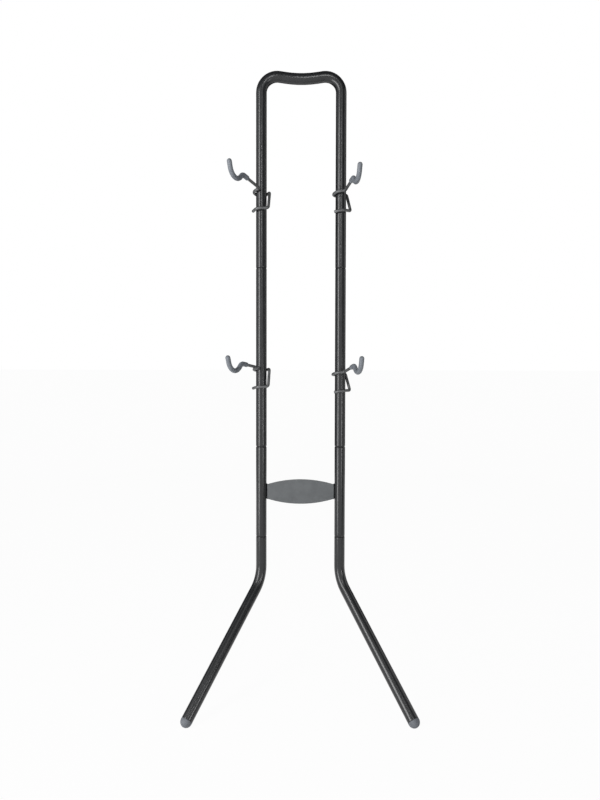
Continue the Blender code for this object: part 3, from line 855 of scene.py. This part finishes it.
def make_arms():
    """The four hooks, each a copy of one wire and one sleeve, swivelled and tipped as it rests."""
    steel, vinyl = plated_wire(), vinyl_sleeve()
    wire, sleeve = make_wire(), make_sleeve()
    for where, (sign, height, swivel, tip_up) in ARMS.items():
        place = (
            stand_place() @ Matrix.Translation((sign * HALF_SPACING, 0, height))
            @ Matrix.Rotation(swivel, 4, "Z") @ Matrix.Rotation(-tip_up, 4, "X")
            @ Matrix.Translation((0, 0, WRAP_SPACING / 2)))
        body = where + "_hook"
        dress(copied(wire, where + "_wire", place), body, "bare_wire", steel, where + "_arm")
        dress(copied(sleeve, where + "_cover", place), body, "vinyl", vinyl, where + "_sleeve")
    for pattern in (wire, sleeve):
        bpy.data.objects.remove(pattern, do_unlink=True)


def make_camera():
    """The photograph's view, tipped slightly down and a trace out of level."""
    data = bpy.data.cameras.new("view")
    data.lens = LENS
    data.sensor_width = SENSOR
    camera = bpy.data.objects.new("view", data)
    bpy.context.scene.collection.objects.link(camera)
    camera.matrix_world = (
        Matrix.Translation(VIEW_AIM) @ Matrix.Rotation(math.pi / 2 - VIEW_TIP, 4, "X")
        @ Matrix.Rotation(VIEW_ROLL, 4, "Z") @ Matrix.Translation((0, 0, VIEW_DISTANCE)))
    bpy.context.scene.camera = camera


def facing_stand(place):
    """The placing of a lamp or card that faces the stand: flat over its middle, else upright."""
    towards = STAND_MIDDLE - Vector(place)
    if towards.xy.length:
        towards.z = 0
    return Matrix.Translation(place) @ towards.to_track_quat("-Z", "Y").to_matrix().to_4x4()


def make_lamp(name, size, power, place):
    """A soft box that faces the stand."""
    data = bpy.data.lights.new(name, "AREA")
    data.shape = "RECTANGLE"
    data.size, data.size_y = size
    data.energy = power
    lamp = bpy.data.objects.new(name, data)
    bpy.context.scene.collection.objects.link(lamp)
    lamp.matrix_world = facing_stand(place)


def make_card(name, tone, size, place):
    """A card that faces the stand: surfaces mirror it, and the eye doesn't see it."""
    bpy.ops.object.select_all(action="DESELECT")
    bpy.ops.mesh.primitive_plane_add(size=1)
    card = bpy.context.active_object
    card.name = name
    card.matrix_world = facing_stand(place) @ Matrix.Diagonal((*size, 1, 1))
    card.data.materials.append(card_board(name, tone))
    card.visible_camera = False


def card_board(name, tone):
    """Matte card, as photographers stand round a glossy tube to settle what it mirrors."""
    material = bpy.data.materials.new(name + "_board")
    material.use_nodes = True
    tree = material.node_tree
    tree.nodes.clear()
    matte = add(tree, "ShaderNodeBsdfDiffuse", {"Color": linear(tone)})
    add(tree, "ShaderNodeOutputMaterial", {}, Surface=matte.outputs["BSDF"])
    return material


def seen_directly(tree):
    """A number that is 1 for rays to the eye and those mirrored or let through by a surface."""
    rays = add(tree, "ShaderNodeLightPath", {})
    share = rays.outputs["Is Camera Ray"]
    for kind in ("Is Glossy Ray", "Is Transmission Ray"):
        larger = add(tree, "ShaderNodeMath", {"operation": "MAXIMUM"})
        tree.links.new(share, larger.inputs[0])
        tree.links.new(rays.outputs[kind], larger.inputs[1])
        share = larger.outputs["Value"]
    return share


def make_floor():
    """A white floor that keeps a faint shadow and runs on into the white background."""
    bpy.ops.object.select_all(action="DESELECT")
    bpy.ops.mesh.primitive_plane_add(size=FLOOR_SIZE, location=(0, 0, -FLOOR_GAP))
    floor = bpy.context.active_object
    floor.name = "floor"
    material = bpy.data.materials.new("white_floor")
    material.use_nodes = True
    tree = material.node_tree
    tree.nodes.clear()
    matte = add(tree, "ShaderNodeBsdfDiffuse", {"Color": linear("#f2f2f2")})
    white = add(tree, "ShaderNodeEmission", {"Color": linear("#ffffff"), "Strength": 1.0})
    share = add(tree, "ShaderNodeMath", {"operation": "MULTIPLY"})
    tree.links.new(seen_directly(tree), share.inputs[0])
    share.inputs[1].default_value = FLOOR_WHITE_SHARE
    mix = add(tree, "ShaderNodeMixShader", {}, Fac=share.outputs["Value"])
    tree.links.new(matte.outputs["BSDF"], mix.inputs[1])
    tree.links.new(white.outputs["Emission"], mix.inputs[2])
    add(tree, "ShaderNodeOutputMaterial", {}, Surface=mix.outputs["Shader"])
    floor.data.materials.append(material)


def make_world():
    """Even grey room light, and white where the background is seen or mirrored."""
    world = bpy.data.worlds.new("studio")
    bpy.context.scene.world = world
    world.use_nodes = True
    tree = world.node_tree
    tree.nodes.clear()
    room = add(
        tree, "ShaderNodeBackground", {"Color": linear("#ffffff"), "Strength": ROOM_LIGHT})
    white = add(tree, "ShaderNodeBackground", {"Color": linear("#ffffff"), "Strength": 1.0})
    mix = add(tree, "ShaderNodeMixShader", {}, Fac=seen_directly(tree))
    tree.links.new(room.outputs["Background"], mix.inputs[1])
    tree.links.new(white.outputs["Background"], mix.inputs[2])
    add(tree, "ShaderNodeOutputWorld", {}, Surface=mix.outputs["Shader"])


make_frame()
make_arms()
make_camera()
make_floor()
make_world()
for lamp in LAMPS:
    make_lamp(*lamp)
for card in CARDS:
    make_card(*card)
bpy.context.scene.view_settings.view_transform = "Standard"
